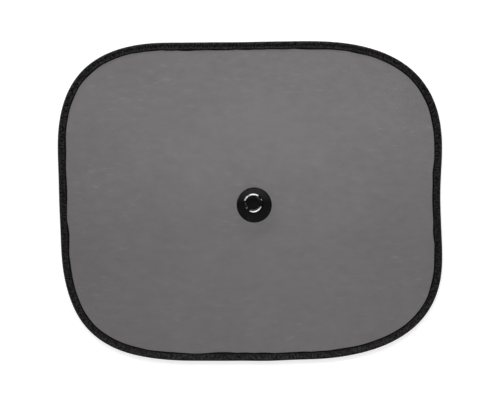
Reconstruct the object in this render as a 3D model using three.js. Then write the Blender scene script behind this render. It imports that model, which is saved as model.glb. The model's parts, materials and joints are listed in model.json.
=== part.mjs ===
// A car side window sunshade: a sheet of black mesh held taut by a hoop of spring wire, which runs in a
// folded edge tape, with one soft suction cup buttoned through its middle. It lies flat with the cup up.
// X is the width, Y the height as the shade hangs in the window, and Z goes up from what it lies on.
// Lengths are in millimetres.
import * as THREE from "three";
import { mergeVertices } from "three/addons/utils/BufferGeometryUtils.js";
import { ParametricGeometry } from "three/addons/geometries/ParametricGeometry.js";

// Overall size, over the edge tape
const WIDTH = 440;
const HEIGHT = 366;

// Corners: where each one leaves its two sides, measured from the corner of the overall size, and how
// far it carries on along each side before it turns, as a share of that reach
const BOTTOM_RIGHT = { reachX: 165, reachY: 116, fullX: 0.5, fullY: 0.79 };
const TOP_RIGHT = { reachX: 150, reachY: 121, fullX: 0.72, fullY: 0.61 };
const TOP_LEFT = { reachX: 127, reachY: 119, fullX: 0.64, fullY: 0.71 };
const BOTTOM_LEFT = { reachX: 160, reachY: 150, fullX: 0.67, fullY: 0.82 };

// Sides: each is a shallow bow. These are its depths inside the overall size where it starts, at the
// turn of the bow and where it ends, going anticlockwise, and the share of its length where it turns
const RIGHT = { start: 0, turn: 2.1, end: 0.2, turnAt: 0.57 };
const TOP = { start: 0, turn: 1.3, end: 1.7, turnAt: 0.67 };
const LEFT = { start: 0, turn: 1.7, end: 3.2, turnAt: 0.75 };
const BOTTOM = { start: 0, turn: 0, end: 1.4, turnAt: 0.75 };
const BOW_HANDLE = 0.4; // how far a bow's curve carries on straight, as a share of each half of it

// Between pieces that touch
const CLEARANCE = 0.3;

// Hoop of spring wire, with its two ends crimped in one sleeve
const WIRE_DIAMETER = 1.2;
const WIRE_END_GAP = 0.6;
const FERRULE_WALL = 0.25;
const FERRULE_LENGTH = 14;
const WIRE_JOINT_IN = 30; // from the start of the bottom side, where the edge runs straight

// Edge tape, folded over the wire and the edge of the mesh
const TAPE_THICKNESS = 0.45;
const TAPE_WIDTH = 9; // from the outer edge of the shade to the inner edge of the tape
const TAPE_FALL = 5.2; // from the outer edge to where the upper leg lies down on the mesh

// Mesh
const MESH_THICKNESS = 0.5;
const MESH_RISE_POWER = 1.6; // above 1, the mesh leaves the tape level and rises to the cup
const MESH_STITCH_IN = 2; // the mesh stays level this far past the tape and round the patch

// Suction cup, one moulding: head below the mesh, neck through it, shoulder, skirt and lip above it
const CUP_X = 3.9;
const CUP_Y = -3;
const HEAD_DIAMETER = 14;
const HEAD_THICKNESS = 2.8;
const NECK_DIAMETER = 7;
const SHOULDER_DIAMETER = 20;
const SHOULDER_ROUND = 0.8;
const CUP_DIAMETER = 40;
const CUP_HEIGHT = 8; // from the shoulder's underside to the lip
const LIP_THICKNESS = 0.9;
const LIP_LAND = 1; // width of the flat edge that meets the glass
const SKIRT_THICKNESS = 1.6;
const DISH_DEPTH = 4; // from the lip to the foot of the bead
const DISH_BEND = 1.9; // height above that foot of the handle that bends the dish's curve
const BEAD_OUTER_DIAMETER = 23.2;
const BEAD_CREST_DIAMETER = 19.6;
const BEAD_INNER_DIAMETER = 15.6;
const BEAD_HEIGHT = 1.35;
const BEAD_FALL = 1.5; // from the crest down to the rim of the well
const WELL_FLOOR = 1.4; // thickness between the well and the shoulder's underside
const WELL_ROUND = 0.8;
const LIP_SHIFT = { x: 1, y: -1.7 }; // the soft skirt leans, so its lip lies off the neck's axis

// Round patch that backs the mesh where the cup goes through
const PATCH_DIAMETER = 30;
const PATCH_THICKNESS = 0.8;

// How finely the curved surfaces are stepped
const HOOP_STEPS = 96;
const TAPE_ARC_STEPS = 4;
const WIRE_ARC_STEPS = 4;
const FERRULE_SIDES = 16;
const PATCH_SIDES = 32;
const CUP_SIDES = 40;
const CUP_ARC_STEPS = 3;
const MESH_RISE_STEPS = 3;
const MERGE_WITHIN = 1e-4; // corners nearer than this are one corner

// Levels and radii that follow from the sizes above
const wireRadius = WIRE_DIAMETER / 2;
const ferruleBore = wireRadius + CLEARANCE;
const ferruleRadius = ferruleBore + FERRULE_WALL;
const pocketRadius = ferruleRadius + CLEARANCE;
const rollRadius = pocketRadius + TAPE_THICKNESS;
const slotFloor = TAPE_THICKNESS;
const slotRoof = slotFloor + MESH_THICKNESS + 2 * CLEARANCE;
const tapeTop = slotRoof + TAPE_THICKNESS;
const meshEdge = rollRadius + wireRadius + CLEARANCE;
const meshLowAtTape = slotFloor + CLEARANCE;
const meshLowAtCup = HEAD_THICKNESS + CLEARANCE;
const patchLow = meshLowAtCup + MESH_THICKNESS + CLEARANCE;
const shoulderLow = patchLow + PATCH_THICKNESS + CLEARANCE;
const lipTop = shoulderLow + CUP_HEIGHT;
const beadFoot = lipTop - DISH_DEPTH;
const holeRadius = NECK_DIAMETER / 2 + CLEARANCE;

const MATERIALS = {
  mesh: { color: 0x2b2a2b, roughness: 0.85, metalness: 0, transparent: true, opacity: 0.65 },
  tape: { color: 0x222123, roughness: 0.9, metalness: 0 },
  steel: { color: 0x9a9b9d, roughness: 0.35, metalness: 1 },
  patch: { color: 0x1d1c1e, roughness: 0.9, metalness: 0 },
  cup: { color: 0x121213, roughness: 0.22, metalness: 0 },
};

// Merges the shared corners, so that the surface is closed, and shades it again.
function closed(geometry) {
  geometry.deleteAttribute("uv");
  geometry.deleteAttribute("normal");
  const merged = mergeVertices(geometry, MERGE_WITHIN);
  merged.computeVertexNormals();
  return merged;
}

function part(name, geometry, material) {
  const mesh = new THREE.Mesh(geometry, new THREE.MeshStandardMaterial(MATERIALS[material]));
  mesh.name = name;
  return mesh;
}

// The start, turn and end of one side. It runs along one axis and lies out along the other.
function sidePoints({ run, out, half, edge, from, to, bow }) {
  const reach = (corner) => Math.abs(run.x) * corner.reachX + Math.abs(run.y) * corner.reachY;
  const begin = reach(from) - half;
  const end = half - reach(to);
  const at = (along, depth) =>
    new THREE.Vector3().addScaledVector(run, along).addScaledVector(out, edge - depth);
  return [
    at(begin, bow.start),
    at(THREE.MathUtils.lerp(begin, end, bow.turnAt), bow.turn),
    at(end, bow.end),
  ];
}

// The shade's outer edge as a closed path, anticlockwise from the start of the bottom side.
function outerEdge() {
  const right = new THREE.Vector3(1, 0, 0);
  const up = new THREE.Vector3(0, 1, 0);
  const left = right.clone().negate();
  const down = up.clone().negate();
  const wide = { half: WIDTH / 2, edge: HEIGHT / 2 };
  const tall = { half: HEIGHT / 2, edge: WIDTH / 2 };
  const sides = [
    { run: right, out: down, ...wide, from: BOTTOM_LEFT, to: BOTTOM_RIGHT, bow: BOTTOM },
    { run: up, out: right, ...tall, from: BOTTOM_RIGHT, to: TOP_RIGHT, bow: RIGHT },
    { run: left, out: up, ...wide, from: TOP_RIGHT, to: TOP_LEFT, bow: TOP },
    { run: down, out: left, ...tall, from: TOP_LEFT, to: BOTTOM_LEFT, bow: LEFT },
  ];
  const path = new THREE.CurvePath();
  // A cubic curve that leaves a along runA and reaches b along runB, each for its share of the way.
  const join = (a, runA, shareA, b, runB, shareB) => {
    const way = b.clone().sub(a);
    const leave = a.clone().addScaledVector(runA, way.dot(runA) * shareA);
    const arrive = b.clone().addScaledVector(runB, -way.dot(runB) * shareB);
    path.add(new THREE.CubicBezierCurve3(a, leave, arrive, b));
  };
  const full = (corner, run) => (run.x === 0 ? corner.fullY : corner.fullX);
  sides.forEach((side, i) => {
    const next = sides[(i + 1) % sides.length];
    const [start, turn, end] = sidePoints(side);
    join(start, side.run, BOW_HANDLE, turn, side.run, BOW_HANDLE);
    join(turn, side.run, BOW_HANDLE, end, side.run, BOW_HANDLE);
    join(end, side.run, full(side.to, side.run), sidePoints(next)[0], next.run, full(side.to, next.run));
  });
  return path;
}

const EDGE = outerEdge();
const EDGE_LENGTH = EDGE.getLength();
const TANGENT_STEP = 1e-4; // share of the way round over which a direction is taken

// A stretch of the shade's edge, from one share of the way round to another, past the start if need be.
class EdgeRun extends THREE.Curve {
  constructor(from, to) {
    super();
    this.from = from;
    this.to = to;
  }

  share(t) {
    return THREE.MathUtils.lerp(this.from, this.to, t);
  }

  getPoint(t, target = new THREE.Vector3()) {
    return target.copy(EDGE.getPoint(THREE.MathUtils.euclideanModulo(this.share(t), 1)));
  }

  getTangent(t, target = new THREE.Vector3()) {
    const around = (share) => EDGE.getPoint(THREE.MathUtils.euclideanModulo(share, 1));
    const ahead = around(this.share(t) + TANGENT_STEP);
    return target.copy(ahead.sub(around(this.share(t) - TANGENT_STEP))).normalize();
  }
}

const wireJoint = WIRE_JOINT_IN / EDGE_LENGTH;
const wholeEdge = new EdgeRun(wireJoint, wireJoint + 1);

// A section swept along a stretch of the edge. It is drawn with its depth inside the edge to the right
// and its height up, and turned here because a level sweep takes x as down and y as inwards. A sweep
// that goes all the way round has no end faces.
function sweep(section, run, arcSteps) {
  const turned = section.getPoints(arcSteps).map((point) => new THREE.Vector2(-point.y, point.x));
  const geometry = new THREE.ExtrudeGeometry(new THREE.Shape(turned), {
    steps: HOOP_STEPS,
    extrudePath: run,
  });
  if (run !== wholeEdge) return closed(geometry);
  const walls = geometry.groups[1];
  const { array, itemSize } = geometry.getAttribute("position");
  const kept = array.slice(walls.start * itemSize, (walls.start + walls.count) * itemSize);
  const ring = new THREE.BufferGeometry();
  ring.setAttribute("position", new THREE.BufferAttribute(kept, itemSize));
  return closed(ring);
}

// The tape's section: a flat underside, a roll round the wire, and an upper leg that falls from the
// roll to the mesh, whose edge goes into the slot between the two legs.
function tapeSection() {
  const down = -Math.PI / 2;
  // Where a straight fall touches a circle of the roll that has the given radius.
  const fallTouches = (radius, level) => {
    const across = TAPE_FALL - rollRadius;
    const rise = level - rollRadius;
    return Math.atan2(rise, across) + Math.acos(radius / Math.hypot(across, rise)) - 2 * Math.PI;
  };
  const section = new THREE.Shape();
  section.moveTo(TAPE_WIDTH, 0);
  section.lineTo(rollRadius, 0);
  section.absarc(rollRadius, rollRadius, rollRadius, down, fallTouches(rollRadius, tapeTop), true);
  section.lineTo(TAPE_FALL, tapeTop);
  section.lineTo(TAPE_WIDTH, tapeTop);
  section.lineTo(TAPE_WIDTH, slotRoof);
  section.lineTo(TAPE_FALL, slotRoof);
  section.absarc(rollRadius, rollRadius, pocketRadius, fallTouches(pocketRadius, slotRoof), down, false);
  section.lineTo(TAPE_WIDTH, slotFloor);
  return section;
}

function wireSection() {
  return new THREE.Shape().absarc(rollRadius, rollRadius, wireRadius, 0, 2 * Math.PI);
}

function edgeTape() {
  return part("edge_binding", sweep(tapeSection(), wholeEdge, TAPE_ARC_STEPS), "tape");
}

function springWire() {
  const cut = WIRE_END_GAP / 2 / EDGE_LENGTH;
  const run = new EdgeRun(wireJoint + cut, wireJoint + 1 - cut);
  return part("spring_wire", sweep(wireSection(), run, WIRE_ARC_STEPS), "steel");
}

// A ring with straight walls, round its own Y axis.
function tube(bore, radius, length, sides) {
  const corners = [
    [bore, 0],
    [radius, 0],
    [radius, length],
    [bore, length],
    [bore, 0],
  ];
  return closed(new THREE.LatheGeometry(corners.map(([x, y]) => new THREE.Vector2(x, y)), sides));
}

function wireFerrule() {
  const geometry = tube(ferruleBore, ferruleRadius, FERRULE_LENGTH, FERRULE_SIDES);
  geometry.translate(0, -FERRULE_LENGTH / 2, 0);
  const ferrule = part("wire_ferrule", geometry, "steel");
  const along = wholeEdge.getTangent(0);
  const inwards = new THREE.Vector3(-along.y, along.x, 0);
  ferrule.quaternion.setFromUnitVectors(new THREE.Vector3(0, 1, 0), along);
  ferrule.position.copy(wholeEdge.getPoint(0)).addScaledVector(inwards, rollRadius);
  ferrule.position.z = rollRadius;
  return ferrule;
}

// The mesh is a ring-shaped sheet, from a point of its edge to the point of its hole that faces it. It
// is level in the tape and under the patch, and rises between them as a power of the share of the way.
function meshPanel() {
  const levels = [];
  for (let i = 0; i <= MESH_RISE_STEPS; i++) levels.push(i / MESH_RISE_STEPS);
  const flatRadius = PATCH_DIAMETER / 2 + MESH_STITCH_IN;
  const flatDepth = TAPE_WIDTH + MESH_STITCH_IN;
  const outwardsFace = [-1, ...levels, 2]; // the hole, the rise from the patch to the tape, and the edge
  const under = outwardsFace.map((at) => ({ at, top: 0 }));
  const over = outwardsFace.map((at) => ({ at, top: 1 })).reverse();
  const rings = [...under, ...over, under[0]];

  const place = (u, v, target) => {
    const { at, top } = rings[Math.round(v * (rings.length - 1))];
    const edge = wholeEdge.getPoint(u);
    const along = wholeEdge.getTangent(u);
    const inwards = new THREE.Vector3(-along.y, along.x, 0);
    const centre = new THREE.Vector3(CUP_X, CUP_Y, 0);
    const outwards = edge.clone().sub(centre).normalize();
    const nearCup = centre.clone().addScaledVector(outwards, at < 0 ? holeRadius : flatRadius);
    const nearTape = edge.clone().addScaledVector(inwards, at > 1 ? meshEdge : flatDepth);
    const share = THREE.MathUtils.clamp(at, 0, 1);
    const rise = (meshLowAtCup - meshLowAtTape) * (1 - share) ** MESH_RISE_POWER;
    target.lerpVectors(nearCup, nearTape, share);
    target.z = meshLowAtTape + rise + top * MESH_THICKNESS;
  };
  return part("mesh_panel", closed(new ParametricGeometry(place, HOOP_STEPS, rings.length - 1)), "mesh");
}

// Turns a piece made round the Y axis to stand on the Z axis at the cup's place.
function onCupAxis(piece, height) {
  piece.rotation.x = Math.PI / 2;
  piece.position.set(CUP_X, CUP_Y, height);
  return piece;
}

function centrePatch() {
  const geometry = tube(holeRadius, PATCH_DIAMETER / 2, PATCH_THICKNESS, PATCH_SIDES);
  return onCupAxis(part("centre_patch", geometry, "patch"), patchLow);
}

// The cup's half section, from the middle of the head's underside, round the lip, to the well's floor.
function cupProfile() {
  const quarter = Math.PI / 2;
  const headRound = HEAD_THICKNESS / 2;
  const headRadius = HEAD_DIAMETER / 2;
  const neckRadius = NECK_DIAMETER / 2;
  const shoulderRadius = SHOULDER_DIAMETER / 2;
  const cupRadius = CUP_DIAMETER / 2;
  const dishRadius = cupRadius - LIP_LAND;
  const beadOuter = BEAD_OUTER_DIAMETER / 2;
  const beadInner = BEAD_INNER_DIAMETER / 2;
  const beadCrest = BEAD_CREST_DIAMETER / 2;
  const beadTop = beadFoot + BEAD_HEIGHT;
  const dishBend = (beadOuter + dishRadius) / 2;
  const wellFloor = shoulderLow + WELL_FLOOR;
  const profile = new THREE.Path();
  profile.moveTo(0, 0);
  profile.lineTo(headRadius - headRound, 0);
  profile.absarc(headRadius - headRound, headRound, headRound, -quarter, quarter);
  profile.lineTo(neckRadius, HEAD_THICKNESS);
  profile.lineTo(neckRadius, shoulderLow);
  profile.lineTo(shoulderRadius - SHOULDER_ROUND, shoulderLow);
  profile.absarc(shoulderRadius - SHOULDER_ROUND, shoulderLow + SHOULDER_ROUND, SHOULDER_ROUND, -quarter, 0);
  // The skirt's back runs up to the lip behind the dish, as nearly the same curve, moved out by its thickness.
  profile.quadraticCurveTo(
    dishBend + SKIRT_THICKNESS / 2, beadFoot + DISH_BEND - SKIRT_THICKNESS,
    cupRadius, lipTop - LIP_THICKNESS,
  );
  profile.lineTo(cupRadius, lipTop);
  profile.lineTo(dishRadius, lipTop);
  profile.quadraticCurveTo(dishBend, beadFoot + DISH_BEND, beadOuter, beadFoot);
  // The bead is a low ridge with two straight flanks, and the inner one ends at the rim of the well.
  profile.lineTo(beadCrest, beadTop);
  profile.lineTo(beadInner, beadTop - BEAD_FALL);
  profile.lineTo(beadInner, wellFloor + WELL_ROUND);
  profile.absarc(beadInner - WELL_ROUND, wellFloor + WELL_ROUND, WELL_ROUND, 0, -quarter, true);
  profile.lineTo(0, wellFloor);
  return profile.getPoints(CUP_ARC_STEPS);
}

// The cup is turned from its half section. Above the foot of the bead it shifts sideways in step with
// height, so that the lip stays level.
function suctionCup() {
  const geometry = closed(new THREE.LatheGeometry(cupProfile(), CUP_SIDES));
  const positions = geometry.getAttribute("position");
  for (let i = 0; i < positions.count; i++) {
    const lean = Math.max(0, (positions.getY(i) - beadFoot) / DISH_DEPTH);
    positions.setX(i, positions.getX(i) + LIP_SHIFT.x * lean);
    positions.setZ(i, positions.getZ(i) - LIP_SHIFT.y * lean);
  }
  geometry.computeVertexNormals();
  return onCupAxis(part("suction_cup", geometry, "cup"), 0);
}

const sunshade = new THREE.Group();
sunshade.add(meshPanel(), edgeTape(), springWire(), wireFerrule(), centrePatch(), suctionCup());

export default sunshade;
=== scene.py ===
import json
import math

import bmesh
import bpy
import numpy as np
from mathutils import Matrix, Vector

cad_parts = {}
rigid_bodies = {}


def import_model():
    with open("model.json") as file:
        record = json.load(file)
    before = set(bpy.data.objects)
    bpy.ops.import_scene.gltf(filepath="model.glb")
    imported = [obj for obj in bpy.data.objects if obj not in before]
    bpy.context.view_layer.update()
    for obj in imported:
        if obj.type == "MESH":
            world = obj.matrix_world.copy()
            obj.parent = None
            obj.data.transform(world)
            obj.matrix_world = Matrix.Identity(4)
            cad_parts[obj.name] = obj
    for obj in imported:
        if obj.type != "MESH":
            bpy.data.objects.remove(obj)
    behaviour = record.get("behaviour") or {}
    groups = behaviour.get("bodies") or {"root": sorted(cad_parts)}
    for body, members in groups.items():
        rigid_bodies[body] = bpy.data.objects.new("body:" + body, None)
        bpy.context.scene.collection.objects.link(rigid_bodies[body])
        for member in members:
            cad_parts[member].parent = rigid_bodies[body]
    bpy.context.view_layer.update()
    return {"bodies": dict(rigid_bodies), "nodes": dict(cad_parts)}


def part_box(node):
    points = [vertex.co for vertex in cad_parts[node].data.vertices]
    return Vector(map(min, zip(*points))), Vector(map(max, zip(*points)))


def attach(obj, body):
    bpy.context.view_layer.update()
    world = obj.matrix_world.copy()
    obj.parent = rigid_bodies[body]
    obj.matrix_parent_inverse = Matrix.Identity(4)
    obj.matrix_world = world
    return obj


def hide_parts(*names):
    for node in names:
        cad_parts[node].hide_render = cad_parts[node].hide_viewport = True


# The look of a car side window sunshade: black mesh held taut in a hoop, with a folded edge tape and one
# suction cup. Shapes are worked out in millimetres and put into the meshes in metres.

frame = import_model()

BODY = next(iter(frame["bodies"]))
MM = 0.001
TURN = 2 * math.pi

# Hoop of wire, read from the frame
HARMONICS = 24
HOOP_FINE = 6000
TIGHT_RADIUS = 110.0

# Folded edge tape: depths are measured inwards from the outer edge, heights up from the floor
TAPE_THICKNESS = 0.45
TAPE_WIDTH = 9.0
TAPE_FALL = 5.2
TAPE_TOP = 2.0
ROLL_RADIUS = 1.9
SLOT_FLOOR = 0.45
SLOT_ROOF = 1.55
SLOT_END = 6.0
TAPE_STATIONS = 1500
ROLL_POINTS = 18
ROUND_EDGE_POINTS = 5
UNDERSIDE_POINTS = 5
FALL_POINTS = 3
UPPER_LEG_POINTS = 8

# Folds and waves of the tape: each has its fewest and most waves round the hoop and the seed of its draws
UPPER_EDGE_WAVE = (9, 45, 7)
LOWER_EDGE_WAVE = (9, 45, 8)
EDGE_WAVE_REACH = 0.45
EDGE_WAVE_IN_CORNERS = 0.3
WIDE_FOLDS = (90, 190, 3)
NARROW_FOLDS = (190, 340, 5)
FINE_FOLDS = (340, 480, 9)
WIDE_FOLD_SHARE = 0.5
NARROW_FOLD_SHARE = 0.6
PUCKER_HEIGHT = 0.4
PUCKER_ON_SIDES = 0.3
FINE_PUCKER_HEIGHT = 0.16
PUCKER_SLANT = 0.9
SEAM_IN = 2.0
SEAM_SINK = 0.14
SEAM_WIDTH = 0.9

# Sewing thread
STITCH_PITCH = 3.0
STITCH_LENGTH = 2.4
THREAD_RADIUS = 0.2
THREAD_SIDES = 6

# Mesh cloth
MESH_EDGE = 2.8
MESH_LEVEL = 1.0
MESH_RISE = 2.35
MESH_RISE_POWER = 1.6
MESH_STITCH_IN = 2.0
HOLE_RADIUS = 3.8
MESH_SPOKES = 720
MESH_RINGS = 110
RIPPLE_WAVES = (20, 90, 11)
RIPPLE_HEIGHT = 0.16
RIPPLE_REACH = 16.0
RIPPLE_GROWTH = 3.0

# Round patch behind the mesh
PATCH_RADIUS = 15.0
PATCH_SEAM_IN = 2.2

# Suction cup: heights are up from the floor, and a bend is a radius, a height and its curve's reach
HEAD_RADIUS = 7.0
HEAD_THICKNESS = 2.8
NECK_RADIUS = 3.5
SHOULDER_RADIUS = 10.0
SHOULDER_LOW = 5.0
SHOULDER_ROUND = 0.8
CUP_RADIUS = 20.0
LIP_TOP = 13.0
LIP_THICKNESS = 0.9
LIP_LAND = 1.0
DISH_BEND = (15.3, 10.9, 3.0)
SKIRT_BEND = (16.1, 9.3, 3.0)
BEAD_FOOT = 9.0
BEAD_OUTER = 11.6
BEAD_CREST = 9.8
BEAD_INNER = 7.8
BEAD_HEIGHT = 1.35
BEAD_FALL = 1.5
WELL_FLOOR = 6.4
WELL_ROUND = 0.8
LIP_SHIFT = (1.0, -1.7)
CREST_ROUND = 0.45
FINE_ROUND = 0.25
SHARP_ROUND = 0.05
CORNER_POINTS = 9
CUP_SIDES = 192

# The photograph: its frame, how much of the object's plane it takes in, and the camera, in metres
PHOTO_WIDTH = 499
MM_PER_PIXEL = 1.1443
AIM = (-0.57 * MM, 1.12 * MM)
CAMERA_HEIGHT = 2.0
SENSOR_WIDTH = 36.0
SIGHT_END = 20.0

# Floor
FLOOR_HALF_SIDE = 4000.0
FLOOR_GLOW = 0.58

# Light: azimuths run anticlockwise from +X, in degrees, and sizes and distances are in metres
LAMP_DISTANCE = 2.2
BANK_ELEVATION = 30
BANK_BOX = (0.66, 0.38)
BANK_RADIANCES = {70: 10.5, 90: 12.5, 110: 12.5, 130: 10.5, 150: 5.5}
SMALL_BOX = {"azimuth": 28, "elevation": 22, "size": (0.31, 0.22), "radiance": 20.0}
OVERHEAD_FILL = {"azimuth": 270, "elevation": 75, "size": (1.5, 1.5), "radiance": 2.0}

# Surround: grey levels, and the part of the way out, by its height or its +Y share, in which they change
HORIZON_LEVELS = (0.95, 0.0)
HORIZON_FADE = (0.1, 0.25)
OVERHEAD_LEVELS = (0.26, 0.055)
OVERHEAD_FADE = (-0.9, -0.1)


# Meshes from grids of points

def surface(name, points, uv, wrap_rows=False, wrap_columns=False):
    """The quads of one or more grids of points, each joining a row and a column to the next ones. Points
    have the axes copy, row, column and coordinate, and uv has a row and a column more where a grid wraps.
    A face looks the way of the row's direction crossed with the column's."""
    copies, rows, columns = points.shape[:3]
    row, column = np.meshgrid(
        np.arange(rows if wrap_rows else rows - 1),
        np.arange(columns if wrap_columns else columns - 1),
        indexing="ij",
    )
    corner_row = np.stack([row, row + 1, row + 1, row], -1)
    corner_column = np.stack([column, column, column + 1, column + 1], -1)
    one = (corner_row % rows) * columns + corner_column % columns
    faces = one[None] + np.arange(copies)[:, None, None, None] * rows * columns
    corner_uv = np.broadcast_to(uv[:, corner_row, corner_column], faces.shape + (2,))
    mesh = bpy.data.meshes.new(name)
    mesh.vertices.add(copies * rows * columns)
    mesh.vertices.foreach_set("co", (points * MM).astype(np.float32).ravel())
    mesh.loops.add(faces.size)
    mesh.loops.foreach_set("vertex_index", faces.astype(np.int32).ravel())
    mesh.polygons.add(faces.size // 4)
    mesh.polygons.foreach_set("loop_start", np.arange(0, faces.size, 4, dtype=np.int32))
    mesh.polygons.foreach_set("use_smooth", np.ones(faces.size // 4, bool))
    mesh.uv_layers.new(name="UVMap").data.foreach_set("uv", corner_uv.astype(np.float32).ravel())
    mesh.update(calc_edges=True)
    return mesh


def close_poles(mesh):
    """Merges the points of a grid's row or column that has shrunk to one place, and drops flat faces."""
    within = 1e-7
    shape = bmesh.new()
    shape.from_mesh(mesh)
    bmesh.ops.remove_doubles(shape, verts=shape.verts, dist=within)
    bmesh.ops.dissolve_degenerate(shape, edges=shape.edges, dist=within)
    shape.to_mesh(mesh)
    shape.free()
    return mesh


def place(mesh, finish, stands_for=()):
    """Links a piece that rides on the object's one body."""
    obj = bpy.data.objects.new(mesh.name, mesh)
    bpy.context.scene.collection.objects.link(obj)
    mesh.materials.append(finish)
    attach(obj, BODY)
    if stands_for:
        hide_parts(*stands_for)
    return obj


def arc(centre, radius, start, end, count):
    """Points of a circle's arc from one angle to another, in degrees."""
    angle = np.radians(np.linspace(start, end, count))
    return np.stack([centre[0] + radius * np.cos(angle), centre[1] + radius * np.sin(angle)], -1)


def line(start, end, count):
    """Points of a straight line, without its two ends."""
    share = np.linspace(0, 1, count + 2)[1:-1, None]
    return np.array(start) * (1 - share) + np.array(end) * share


def bend(start, handle, end, count):
    """Points of a quadratic curve that leaves its start and reaches its end in line with one handle."""
    share = np.linspace(0, 1, count)[:, None]
    near, middle, far = (1 - share) ** 2, 2 * share * (1 - share), share**2
    return near * np.array(start) + middle * np.array(handle) + far * np.array(end)


def run_lengths(points):
    """Distance along a line of points, from its first one."""
    steps = np.linalg.norm(np.diff(points, axis=0), axis=1)
    return np.concatenate([[0], np.cumsum(steps)])


# The hoop

def waves(angle):
    """The cosines and sines of whole multiples of an angle, as the columns of a table."""
    orders = np.arange(HARMONICS + 1)
    turns = np.outer(angle, orders)
    return np.concatenate([np.cos(turns), np.sin(turns[:, 1:])], 1)


def hoop_outline():
    """The wire's centre line, closed, as many fine points. Its radius for each angle about the origin is a
    Fourier series, fitted by least squares to the vertices of the frame's wire."""
    wire = frame["nodes"]["spring_wire"].data
    found = np.zeros(len(wire.vertices) * 3, np.float32)
    wire.vertices.foreach_get("co", found)
    x, y, _ = found.reshape(-1, 3).T / MM
    weights = np.linalg.lstsq(waves(np.arctan2(y, x)), np.hypot(x, y), rcond=None)[0]
    angle = np.linspace(0, TURN, HOOP_FINE + 1)
    radius = waves(angle) @ weights
    return np.stack([radius * np.cos(angle), radius * np.sin(angle)], -1)


class Hoop:
    """Places along the hoop: each is a distance along the wire and a depth in from the outer edge."""

    def __init__(self):
        self.fine = hoop_outline()
        self.lengths = run_lengths(self.fine)
        self.length = self.lengths[-1]
        ring = self.fine[:-1]
        along = np.roll(ring, -1, 0) - np.roll(ring, 1, 0)
        along /= np.linalg.norm(along, axis=1)[:, None]
        turned = np.roll(along, -1, 0) - np.roll(along, 1, 0)
        spacing = self.length / HOOP_FINE
        curve = np.linalg.norm(turned, axis=1) / (2 * spacing)
        self.along = np.concatenate([along, along[:1]])
        self.curve = np.concatenate([curve, curve[:1]])

    def read(self, values, at):
        """Values given at the fine points, read at other distances along the hoop."""
        at = np.mod(at, self.length)
        return np.stack([np.interp(at, self.lengths, column) for column in values.T], -1)

    def directions(self, at):
        """The direction along the hoop and the one inwards."""
        along = self.read(self.along, at)
        along /= np.linalg.norm(along, axis=-1)[..., None]
        return along, np.stack([-along[..., 1], along[..., 0]], -1)

    def points(self, at, depth):
        """The plan of the wire moved inwards: its own depth is the radius of the tape's roll."""
        inwards = self.directions(at)[1]
        return self.read(self.fine, at) + inwards * (np.asarray(depth) - ROLL_RADIUS)[..., None]

    def cornering(self, at):
        """From 0 where the hoop runs straight to 1 where it turns at the tight radius or closer."""
        return np.clip(self.read(self.curve[:, None], at)[..., 0] * TIGHT_RADIUS, 0, 1)


def wander(share, lowest, highest, seed):
    """A smooth closed variation of about unit size round the hoop: cosines of whole numbers of waves, each
    with a seeded phase and weight."""
    random = np.random.default_rng(seed)
    orders = np.arange(lowest, highest)
    phases = random.uniform(0, TURN, len(orders))
    weights = random.normal(size=len(orders)) * math.sqrt(2 / len(orders))
    return np.cos(TURN * np.asarray(share)[..., None] * orders + phases) @ weights


# Edge tape and its stitches

def tape_section():
    """The tape's closed section as depths and heights: a flat underside, a roll round the wire, a fall to
    the mesh, an upper leg with a round edge, the slot, and the lower leg's round edge."""
    half = TAPE_THICKNESS / 2
    across = TAPE_FALL - ROLL_RADIUS
    rise = TAPE_TOP - ROLL_RADIUS
    leaves = math.degrees(math.atan2(rise, across) + math.acos(ROLL_RADIUS / math.hypot(across, rise)))
    roll = arc((ROLL_RADIUS, ROLL_RADIUS), ROLL_RADIUS, 270, leaves, ROLL_POINTS)
    edge = TAPE_WIDTH - half
    fallen = (TAPE_FALL, TAPE_TOP)
    return np.concatenate([
        line((edge, 0), (ROLL_RADIUS, 0), UNDERSIDE_POINTS),
        roll,
        line(roll[-1], fallen, FALL_POINTS),
        [fallen],
        line(fallen, (edge, TAPE_TOP), UPPER_LEG_POINTS),
        arc((edge, TAPE_TOP - half), half, 90, -90, ROUND_EDGE_POINTS),
        [(SLOT_END, SLOT_ROOF), (SLOT_END, SLOT_FLOOR)],
        arc((edge, half), half, 90, -90, ROUND_EDGE_POINTS),
    ])


def tape_pucker(hoop, at, depth):
    """How far the upper leg is pushed up: slanting folds of a few millimetres, stronger in the corners and
    with finer ones on them there, less a bell-shaped groove where the stitches pull it down."""
    slanted = (at + PUCKER_SLANT * depth) / hoop.length
    corner = hoop.cornering(at)
    strength = PUCKER_HEIGHT * (PUCKER_ON_SIDES + (1 - PUCKER_ON_SIDES) * corner)
    wide = WIDE_FOLD_SHARE * wander(slanted, *WIDE_FOLDS)
    narrow = NARROW_FOLD_SHARE * wander(slanted, *NARROW_FOLDS)
    fine = FINE_PUCKER_HEIGHT * corner * wander(slanted, *FINE_FOLDS)
    folds = strength * (wide + narrow) + fine
    from_seam = (depth - TAPE_WIDTH + SEAM_IN) / SEAM_WIDTH
    groove = SEAM_SINK * np.exp(-2 * from_seam**2)
    return np.clip(folds, -PUCKER_HEIGHT / 2, PUCKER_HEIGHT) - groove


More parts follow.
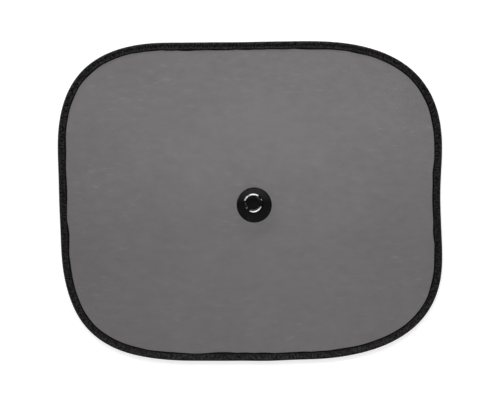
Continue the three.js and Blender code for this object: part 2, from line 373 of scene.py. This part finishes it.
def edge_tape(hoop, finish):
    """The section carried round the hoop. Its legs reach in and out in a slow wave, and its upper leg and
    fall are puckered."""
    section = tape_section()
    at = np.arange(TAPE_STATIONS) * hoop.length / TAPE_STATIONS
    at, depth = np.meshgrid(at, section[:, 0], indexing="ij")
    height = np.broadcast_to(section[:, 1], depth.shape)
    leg = np.clip((depth - TAPE_FALL) / (TAPE_WIDTH - TAPE_FALL), 0, 1)
    upper = (height > MESH_LEVEL) & (depth > ROLL_RADIUS)
    share = at / hoop.length
    wave = np.where(upper, wander(share, *UPPER_EDGE_WAVE), wander(share, *LOWER_EDGE_WAVE))
    calm = 1 - (1 - EDGE_WAVE_IN_CORNERS) * hoop.cornering(at)
    lift = np.where(upper, np.clip((depth - ROLL_RADIUS) / (TAPE_FALL - ROLL_RADIUS), 0, 1), 0)
    raised = height + lift * tape_pucker(hoop, at, depth)
    plan = hoop.points(at, depth + leg * EDGE_WAVE_REACH * wave * calm)
    points = np.concatenate([plan, raised[..., None]], -1)
    loop = np.concatenate([section, section[:1]])
    along = np.arange(TAPE_STATIONS + 1) * hoop.length / TAPE_STATIONS
    uv = np.stack(np.meshgrid(along, run_lengths(loop), indexing="ij"), -1)
    mesh = surface("folded_edge_tape", points[None], uv[None], wrap_rows=True, wrap_columns=True)
    place(mesh, finish, ["edge_binding"])


def thread_pieces(name, centres, along, finish):
    """Short lengths of thread with round ends: a capsule of few faces, copied to each centre and laid along
    the direction given there."""
    station = np.array([-1, -0.92, -0.6, 0.6, 0.92, 1])
    swell = np.array([0, 0.7, 1, 1, 0.7, 0])
    angle = np.arange(THREAD_SIDES) * TURN / THREAD_SIDES
    length = np.broadcast_to(station[:, None] * STITCH_LENGTH / 2, (len(station), THREAD_SIDES))
    across = THREAD_RADIUS * swell[:, None] * np.cos(angle)
    up = THREAD_RADIUS * swell[:, None] * np.sin(angle)
    sideways = np.stack([-along[:, 1], along[:, 0]], -1)
    plan = (
        centres[:, None, None, :2]
        + along[:, None, None] * length[None, ..., None]
        + sideways[:, None, None] * across[None, ..., None]
    )
    height = centres[:, 2, None, None] + up[None]
    points = np.concatenate([plan, height[..., None]], -1)
    turns = np.linspace(0, TURN * THREAD_RADIUS, THREAD_SIDES + 1)
    uv = np.stack(np.meshgrid(station * STITCH_LENGTH / 2, turns, indexing="ij"), -1)
    mesh = surface(name, points, uv[None], wrap_columns=True)
    place(close_poles(mesh), finish)


def tape_stitches(hoop, finish):
    """Two rows of stitches near the tape's inner edge, one on each leg, at an even pitch."""
    count = round(hoop.length / STITCH_PITCH)
    at = (np.arange(count) + 0.5) * hoop.length / count
    depth = np.full(count, TAPE_WIDTH - SEAM_IN)
    along = hoop.directions(at)[0]
    plan = hoop.points(at, depth)
    top = TAPE_TOP + tape_pucker(hoop, at, depth) + THREAD_RADIUS / 2
    bottom = np.full(count, THREAD_RADIUS)
    centres = np.concatenate([
        np.concatenate([plan, top[:, None]], -1),
        np.concatenate([plan, bottom[:, None]], -1),
    ])
    thread_pieces("tape_stitches", centres, np.concatenate([along, along]), finish)


# Mesh cloth

def cup_axis():
    """The plan position of the cup, from the patch round it in the frame."""
    low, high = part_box("centre_patch")
    return np.array([low.x + high.x, low.y + high.y]) / 2 / MM


def mesh_cloth(hoop, finish):
    """The cloth from its edge inside the tape to its hole. Each spoke is a straight line in plan. Its height
    is a tent that is level in the tape and under the patch, with ripples that die out from the tape."""
    centre = cup_axis()
    at = np.arange(MESH_SPOKES) * hoop.length / MESH_SPOKES
    edge = hoop.points(at, np.full(MESH_SPOKES, MESH_EDGE))
    stitched = hoop.points(at, np.full(MESH_SPOKES, TAPE_WIDTH + MESH_STITCH_IN))
    outwards = edge - centre
    outwards /= np.linalg.norm(outwards, axis=1)[:, None]
    hole = centre + outwards * HOLE_RADIUS
    share = np.linspace(0, 1, MESH_RINGS)[None, :, None]
    plan = edge[:, None] * (1 - share) + hole[:, None] * share
    away = np.linalg.norm(plan - centre, axis=-1)
    flat = PATCH_RADIUS + MESH_STITCH_IN
    far = np.linalg.norm(stitched - centre, axis=1)[:, None]
    fallen = np.clip((away - flat) / (far - flat), 0, 1)
    from_tape = np.clip(far - away, 0, None)
    round_share = (at / hoop.length)[:, None]
    ripple = RIPPLE_HEIGHT * wander(round_share, *RIPPLE_WAVES) * np.exp(-from_tape / RIPPLE_REACH)
    ripple = ripple * np.clip(fallen * RIPPLE_GROWTH, 0, 1) * (from_tape > 0)
    height = MESH_LEVEL + MESH_RISE * (1 - fallen) ** MESH_RISE_POWER + ripple
    points = np.concatenate([plan, height[..., None]], -1)
    uv = np.concatenate([plan, plan[:1]])
    mesh = surface("mesh_cloth", points[None], uv[None], wrap_rows=True)
    obj = place(mesh, finish, ["mesh_panel"])


# Pieces turned round the cup's axis

def soft_corners(corners):
    """A line through corners, each with a reach: the line leaves its side that far before the corner, and
    follows a quadratic curve, with the corner as its handle, to as far after it."""
    found = []
    for i, (x, y, reach) in enumerate(corners):
        here = np.array([x, y])
        if reach == 0:
            found.append(here[None])
            continue
        before = np.array(corners[i - 1][:2]) - here
        after = np.array(corners[(i + 1) % len(corners)][:2]) - here
        start = here + before * reach / np.linalg.norm(before)
        end = here + after * reach / np.linalg.norm(after)
        found.append(bend(start, here, end, CORNER_POINTS))
    return np.concatenate(found)


def turned_piece(name, profile, closed=False, lean_from=None):
    """A half section of radii and heights turned round the cup's upright axis. Above one height it shifts
    sideways in step with the height, so that level rims stay level."""
    centre = cup_axis()
    angle = np.arange(CUP_SIDES) * TURN / CUP_SIDES
    radius, height = profile.T
    lean = np.zeros(len(profile))
    if lean_from is not None:
        lean = np.clip((height - lean_from) / (LIP_TOP - lean_from), 0, None)
    x = centre[0] + lean * LIP_SHIFT[0] + np.cos(angle)[:, None] * radius
    y = centre[1] + lean * LIP_SHIFT[1] + np.sin(angle)[:, None] * radius
    points = np.stack([x, y, np.broadcast_to(height, x.shape)], -1)
    uv = np.pad(points[..., :2], ((0, 1), (0, 1), (0, 0)), mode="wrap")
    return close_poles(surface(name, points[None], uv[None], wrap_rows=True, wrap_columns=closed))


def suction_cup(finish):
    """One moulding: from the middle of the head's underside, up the neck and the skirt's back, round the
    lip, down the dish, over the low bead and down to the middle of the well's floor."""
    profile = soft_corners([
        (0, 0, 0),
        (HEAD_RADIUS, 0, HEAD_THICKNESS / 2),
        (HEAD_RADIUS, HEAD_THICKNESS, HEAD_THICKNESS / 2),
        (NECK_RADIUS, HEAD_THICKNESS, FINE_ROUND),
        (NECK_RADIUS, SHOULDER_LOW, FINE_ROUND),
        (SHOULDER_RADIUS, SHOULDER_LOW, SHOULDER_ROUND / 2),
        (SHOULDER_RADIUS, SHOULDER_LOW + SHOULDER_ROUND, FINE_ROUND),
        SKIRT_BEND,
        (CUP_RADIUS, LIP_TOP - LIP_THICKNESS, FINE_ROUND),
        (CUP_RADIUS, LIP_TOP, FINE_ROUND),
        (CUP_RADIUS - LIP_LAND, LIP_TOP, FINE_ROUND),
        DISH_BEND,
        (BEAD_OUTER, BEAD_FOOT, SHARP_ROUND),
        (BEAD_CREST, BEAD_FOOT + BEAD_HEIGHT, CREST_ROUND),
        (BEAD_INNER, BEAD_FOOT + BEAD_HEIGHT - BEAD_FALL, FINE_ROUND),
        (BEAD_INNER, WELL_FLOOR, WELL_ROUND),
        (0, WELL_FLOOR, 0),
    ])
    mesh = turned_piece("suction_cup_moulding", profile, lean_from=BEAD_FOOT)
    place(mesh, finish, ["suction_cup"])


def centre_patch(finish, thread):
    """A woven disc with a soft edge, and a ring of stitches near that edge."""
    low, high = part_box("centre_patch")
    bottom, top = low.z / MM, high.z / MM
    half = (top - bottom) / 2
    profile = soft_corners([
        (PATCH_RADIUS, bottom, half),
        (PATCH_RADIUS, top, half),
        (HOLE_RADIUS, top, half),
        (HOLE_RADIUS, bottom, half),
    ])
    mesh = turned_piece("woven_centre_patch", profile, closed=True)
    place(mesh, finish, ["centre_patch"])
    ring = PATCH_RADIUS - PATCH_SEAM_IN
    count = round(TURN * ring / STITCH_PITCH)
    turn = np.arange(count) * TURN / count
    out = np.stack([np.cos(turn), np.sin(turn)], -1)
    heights = np.full((count, 1), top + THREAD_RADIUS / 2)
    centres = np.concatenate([cup_axis() + ring * out, heights], -1)
    thread_pieces("patch_stitches", centres, np.stack([-out[:, 1], out[:, 0]], -1), thread)


# Materials: their nodes

def linear(colour):
    """The linear values, with full alpha, of an sRGB hex colour."""
    values = [int(colour[i:i + 2], 16) / 255 for i in (1, 3, 5)]
    return [v / 12.92 if v <= 0.04045 else ((v + 0.055) / 1.055) ** 2.4 for v in values] + [1.0]


def add(tree, kind, inputs=None, **settings):
    """Adds a node. Settings are its properties, and each input is a value or the socket that feeds it."""
    made = tree.nodes.new(kind)
    for name, value in settings.items():
        setattr(made, name, value)
    for name, value in (inputs or {}).items():
        if isinstance(value, bpy.types.NodeSocket):
            tree.links.new(value, made.inputs[name])
        else:
            made.inputs[name].default_value = value
    return made


def maths(tree, operation, *values):
    """One step of arithmetic on values or sockets."""
    return add(tree, "ShaderNodeMath", dict(enumerate(values)), operation=operation).outputs[0]


def ranged(tree, value, found, wanted=(0.0, 1.0), **settings):
    """A value carried from one range to another, and kept within that one."""
    ranges = {"From Min": found[0], "From Max": found[1], "To Min": wanted[0], "To Max": wanted[1]}
    return add(tree, "ShaderNodeMapRange", {"Value": value, **ranges}, **settings).outputs[0]


def stretched(tree, where, scale, rotation=0.0):
    """Coordinates scaled along each axis and then turned."""
    inputs = {"Vector": where, "Rotation": (0.0, 0.0, rotation), "Scale": scale}
    return add(tree, "ShaderNodeMapping", inputs).outputs[0]


def blotches(tree, where, size, detail, roughness=0.5):
    """Noise between 0 and 1 in blotches of about one size, with finer detail on them."""
    inputs = {"Vector": where, "Scale": 1 / size, "Detail": detail, "Roughness": roughness}
    return add(tree, "ShaderNodeTexNoise", inputs).outputs["Fac"]


def tinted(tree, share, first, second):
    """A colour that goes from a first one to a second one with a share."""
    return add(tree, "ShaderNodeMix", {0: share, 6: first, 7: second}, data_type="RGBA").outputs[2]


def bumps(tree, height, strength, distance, **settings):
    """The surface's direction, tilted as by bumps of a given height."""
    inputs = {"Height": height, "Strength": strength, "Distance": distance}
    return add(tree, "ShaderNodeBump", inputs, **settings).outputs[0]


def new_material(name):
    """A material with an empty node tree."""
    made = bpy.data.materials.new(name)
    made.use_nodes = True
    made.node_tree.nodes.clear()
    return made


def feed_output(made, shader):
    """Gives a material its shader."""
    output = add(made.node_tree, "ShaderNodeOutputMaterial")
    made.node_tree.links.new(shader.outputs[0], output.inputs[0])
    return made


# Materials

def knitted_mesh():
    """Warp-knitted polyester mesh: thin dull black yarn with staggered holes, so what lies behind shows
    through as an even grey. Uneven yarn makes it faintly mottled along its width, with a few short places
    where it is thin. It is also made more open, and so paler, towards the top, the right and the middle:
    that is painted light, the cloth lighter where the light falls more strongly. It is more open towards
    the top, the right and the middle, because the photograph is paler there, which may be the cloth's
    stretch or that picture's light."""
    made = new_material("knitted_polyester_mesh")
    tree = made.node_tree
    # A likely hole spacing, finer than the photograph can show, and chosen clear of moire in its pixels
    pitch_across = 0.66 * MM
    pitch_down = 0.52 * MM
    open_between_and_in_holes = (0.127, 0.256)
    mottle_size = 8 * MM
    mottle_scale = (0.55, 1.0, 1.0)
    slub_size = 2.2 * MM
    slub_scale = (0.22, 1.0, 1.0)
    tension_size = 70 * MM
    on_cloth = add(tree, "ShaderNodeTexCoord").outputs["Object"]
    axes = add(tree, "ShaderNodeSeparateXYZ", {0: on_cloth}).outputs
    wave_x = maths(tree, "COSINE", maths(tree, "MULTIPLY", axes["X"], TURN / pitch_across))
    wave_y = maths(tree, "COSINE", maths(tree, "MULTIPLY", axes["Y"], TURN / pitch_down))
    staggered = maths(tree, "MULTIPLY", wave_x, wave_y)
    opening = ranged(tree, staggered, (-1.0, 1.0), open_between_and_in_holes)
    mottle = blotches(tree, stretched(tree, on_cloth, mottle_scale), mottle_size, 3.0, 0.55)
    slubs = blotches(tree, stretched(tree, on_cloth, slub_scale), slub_size, 0.0)
    tension = blotches(tree, on_cloth, tension_size, 1.0)
    out = add(tree, "ShaderNodeVectorMath", {0: on_cloth}, operation="LENGTH").outputs["Value"]
    # Each share makes the cloth more open where it is above 1
    shares = [
        ranged(tree, mottle, (0.2, 0.8), (0.94, 1.06)),
        ranged(tree, slubs, (0.73, 0.82), (1.0, 1.13)),
        ranged(tree, tension, (0.25, 0.75), (0.97, 1.03)),
        # Painted light: these three shares make the cloth more open, and so paler, towards the top, the
        # right and the middle
        ranged(tree, axes["Y"], (-70 * MM, 110 * MM), (0.97, 1.155), interpolation_type="SMOOTHSTEP"),
        ranged(tree, axes["X"], (-210 * MM, 60 * MM), (0.95, 1.02)),
        ranged(tree, out, (80 * MM, 215 * MM), (1.035, 0.95)),
    ]
    openness_with_painted_light = opening
    for share in shares:
        openness_with_painted_light = maths(tree, "MULTIPLY", openness_with_painted_light, share)
    return feed_output(made, add(tree, "ShaderNodeBsdfPrincipled", {
        "Base Color": tinted(tree, mottle, linear("#271d20"), linear("#33272b")),
        "Alpha": maths(tree, "SUBTRACT", 1.0, openness_with_painted_light),
        "Normal": bumps(tree, opening, 0.15, 0.1 * MM, invert=True),
        "Roughness": 0.75,
        "Specular IOR Level": 0.3,
    }))


def woven_tape():
    """Woven polyester tape: matt black, with fine cross ribs, paler marks of lint and wear that run across
    it at a slant, and a darker, duller stretch beside its sewn edge: painted shade of the seam's groove."""
    made = new_material("woven_polyester_tape")
    tree = made.node_tree
    rib_pitch = 0.9  # real ribs are about 0.5 mm apart and are drawn coarser to show
    thread_pitch = 0.7
    rib_height = 0.25  # beside the threads
    weave_height = 0.35  # beside the lint
    mark_slant = math.radians(35)
    mark_scale = (0.75, 0.25, 1.0)
    seam_shade_band = (17.2, 18.6)  # millimetres round the tape's section, painted shade beside the seam
    on_tape = add(tree, "ShaderNodeUVMap", uv_map="UVMap").outputs[0]
    axes = add(tree, "ShaderNodeSeparateXYZ", {0: on_tape}).outputs
    ribs = maths(tree, "SINE", maths(tree, "MULTIPLY", axes["X"], TURN / rib_pitch))
    threads = maths(tree, "SINE", maths(tree, "MULTIPLY", axes["Y"], TURN / thread_pitch))
    weave = maths(tree, "ADD", maths(tree, "MULTIPLY", ribs, rib_height), threads)
    lint = blotches(tree, stretched(tree, on_tape, mark_scale, mark_slant), 1.0, 3.0)
    height = maths(tree, "ADD", maths(tree, "MULTIPLY", weave, weave_height), lint)
    worn = ranged(tree, lint, (0.4, 0.62))
    # Painted shade: beside the seam the tape is darker and duller, as the shade in its groove
    seam_shade = ranged(tree, axes["Y"], seam_shade_band)
    plain_tint = tinted(tree, worn, linear("#030303"), linear("#252426"))
    plain_gleam = ranged(tree, worn, (0.0, 1.0), (0.12, 0.46))
    return feed_output(made, add(tree, "ShaderNodeBsdfPrincipled", {
        "Base Color": tinted(tree, seam_shade, plain_tint, linear("#100a0b")),
        "Normal": bumps(tree, height, 1.0, 0.25 * MM),
        "Roughness": 0.55,
        "Specular IOR Level": add(tree, "ShaderNodeMix", {0: seam_shade, 2: plain_gleam, 3: 0.06}).outputs[0],
    }))


def sewing_thread():
    """Spun polyester thread: black with a soft gleam, and a slanting twist."""
    made = new_material("polyester_sewing_thread")
    tree = made.node_tree
    twist_pitch = 0.45
    on_thread = add(tree, "ShaderNodeUVMap", uv_map="UVMap").outputs[0]
    axes = add(tree, "ShaderNodeSeparateXYZ", {0: on_thread}).outputs
    slant = maths(tree, "ADD", axes["X"], axes["Y"])
    twist = maths(tree, "SINE", maths(tree, "MULTIPLY", slant, TURN / twist_pitch))
    return feed_output(made, add(tree, "ShaderNodeBsdfPrincipled", {
        "Base Color": tinted(tree, twist, linear("#1b1a1c"), linear("#2b292c")),
        "Normal": bumps(tree, twist, 0.5, 0.05 * MM),
        "Roughness": 0.55,
    }))


def soft_moulding():
    """Soft PVC, injection moulded to a high gloss: near black, with bright, sharp reflections that the
    moulding's slow unevenness makes a little wavy."""
    made = new_material("glossy_soft_pvc")
    tree = made.node_tree
    flow_size = 6 * MM
    haze_size = 1.5 * MM
    on_cup = add(tree, "ShaderNodeTexCoord").outputs["Object"]
    flow = blotches(tree, on_cup, flow_size, 2.0)
    haze = blotches(tree, on_cup, haze_size, 4.0)
    return feed_output(made, add(tree, "ShaderNodeBsdfPrincipled", {
        "Base Color": tinted(tree, haze, linear("#080808"), linear("#0d0d0d")),
        "Normal": bumps(tree, flow, 0.06, 0.3 * MM),
        "Roughness": ranged(tree, haze, (0.3, 0.7), (0.05, 0.1)),
        "IOR": 1.57,
        "Specular IOR Level": 0.8,
    }))


def drawn_steel():
    """Drawn spring steel: grey metal with a fine grain that spreads its highlights unevenly."""
    made = new_material("drawn_spring_steel")
    tree = made.node_tree
    grain_size = 0.4 * MM
    on_wire = add(tree, "ShaderNodeTexCoord").outputs["Object"]
    grain = blotches(tree, on_wire, grain_size, 3.0)
    return feed_output(made, add(tree, "ShaderNodeBsdfPrincipled", {
        "Base Color": tinted(tree, grain, linear("#8d8e91"), linear("#a6a7a9")),
        "Metallic": 1.0,
        "Roughness": ranged(tree, grain, (0.0, 1.0), (0.25, 0.5)),
    }))


def floor_paper():
    """White paper that takes the object's shadow. Seen directly, in gloss or through glass it also glows,
    so that with the light on it, it reads as white."""
    made = new_material("white_paper_floor")
    tree = made.node_tree
    ray = add(tree, "ShaderNodeLightPath").outputs
    direct_or_gloss = maths(tree, "MAXIMUM", ray["Is Camera Ray"], ray["Is Glossy Ray"])
    seen = maths(tree, "MAXIMUM", direct_or_gloss, ray["Is Transmission Ray"])
    glow = add(tree, "ShaderNodeEmission", {"Strength": maths(tree, "MULTIPLY", seen, FLOOR_GLOW)})
    paper = add(tree, "ShaderNodeBsdfDiffuse", {"Color": linear("#dadada")})
    return feed_output(made, add(tree, "ShaderNodeAddShader", {0: paper.outputs[0], 1: glow.outputs[0]}))


# Floor, light and camera

def studio_floor():
    """A level square under the object."""
    ends = np.array([-FLOOR_HALF_SIDE, FLOOR_HALF_SIDE])
    x, y = np.meshgrid(ends, ends, indexing="ij")
    corners = np.stack([x, y, np.zeros_like(x)], -1)
    mesh = surface("floor", corners[None], corners[None, ..., :2])
    mesh.materials.append(floor_paper())
    floor = bpy.data.objects.new("floor", mesh)
    bpy.context.scene.collection.objects.link(floor)


def lamp(name, azimuth, elevation, size, radiance):
    """A soft box of a given width and height, aimed at the object. Its power is its radiance times pi times
    its area."""
    data = bpy.data.lights.new(name, "AREA")
    data.shape = "RECTANGLE"
    data.size, data.size_y = size
    data.energy = radiance * math.pi * size[0] * size[1]
    obj = bpy.data.objects.new(name, data)
    turn = math.radians(azimuth)
    lift = math.radians(elevation)
    level = math.cos(lift)
    way = Vector((level * math.cos(turn), level * math.sin(turn), math.sin(lift)))
    obj.location = LAMP_DISTANCE * way
    obj.rotation_euler = obj.location.to_track_quat("Z", "Y").to_euler()
    bpy.context.scene.collection.objects.link(obj)
    return obj


def studio_light():
    """A curved bank of narrow soft boxes beyond the top of the picture, a small one at its right end, and a
    soft fill from overhead that gloss doesn't show."""
    for azimuth, radiance in BANK_RADIANCES.items():
        lamp(f"bank_at_{azimuth}", azimuth, BANK_ELEVATION, BANK_BOX, radiance)
    lamp("small_soft_box", **SMALL_BOX)
    fill = lamp("overhead_fill", **OVERHEAD_FILL)
    fill.visible_glossy = False


def surround():
    """A surround that is pale at the horizon and dim overhead, more so towards the bank of lamps. Seen
    directly, it is white."""
    world = bpy.data.worlds.new("surround")
    world.use_nodes = True
    tree = world.node_tree
    background = tree.nodes["Background"].inputs
    background["Color"].default_value = linear("#ffffff")
    way = add(tree, "ShaderNodeTexCoord").outputs["Generated"]
    axes = add(tree, "ShaderNodeSeparateXYZ", {0: way}).outputs
    horizon = ranged(tree, axes["Z"], HORIZON_FADE, HORIZON_LEVELS)
    overhead = ranged(tree, axes["Y"], OVERHEAD_FADE, OVERHEAD_LEVELS)
    level = maths(tree, "MAXIMUM", horizon, overhead)
    seen = add(tree, "ShaderNodeLightPath").outputs["Is Camera Ray"]
    tree.links.new(maths(tree, "MAXIMUM", level, seen), background["Strength"])
    bpy.context.scene.world = world


def photo_camera():
    """A long lens straight above the object. Its focal length makes the frame's width at the object that of
    the photograph."""
    data = bpy.data.cameras.new("photo_camera")
    data.sensor_width = SENSOR_WIDTH
    data.lens = SENSOR_WIDTH * CAMERA_HEIGHT / (PHOTO_WIDTH * MM_PER_PIXEL * MM)
    data.clip_end = SIGHT_END
    obj = bpy.data.objects.new("photo_camera", data)
    obj.location = (*AIM, CAMERA_HEIGHT + TAPE_TOP * MM)
    bpy.context.scene.collection.objects.link(obj)
    bpy.context.scene.camera = obj


hoop = Hoop()
tape_finish = woven_tape()
thread_finish = sewing_thread()
steel_finish = drawn_steel()
mesh_cloth(hoop, knitted_mesh())
edge_tape(hoop, tape_finish)
tape_stitches(hoop, thread_finish)
centre_patch(tape_finish, thread_finish)
suction_cup(soft_moulding())
for steel_part in ("spring_wire", "wire_ferrule"):
    frame["nodes"][steel_part].data.materials.clear()
    frame["nodes"][steel_part].data.materials.append(steel_finish)
studio_floor()
studio_light()
surround()
photo_camera()
bpy.context.scene.view_settings.view_transform = "Standard"

bpy.context.view_layer.update()
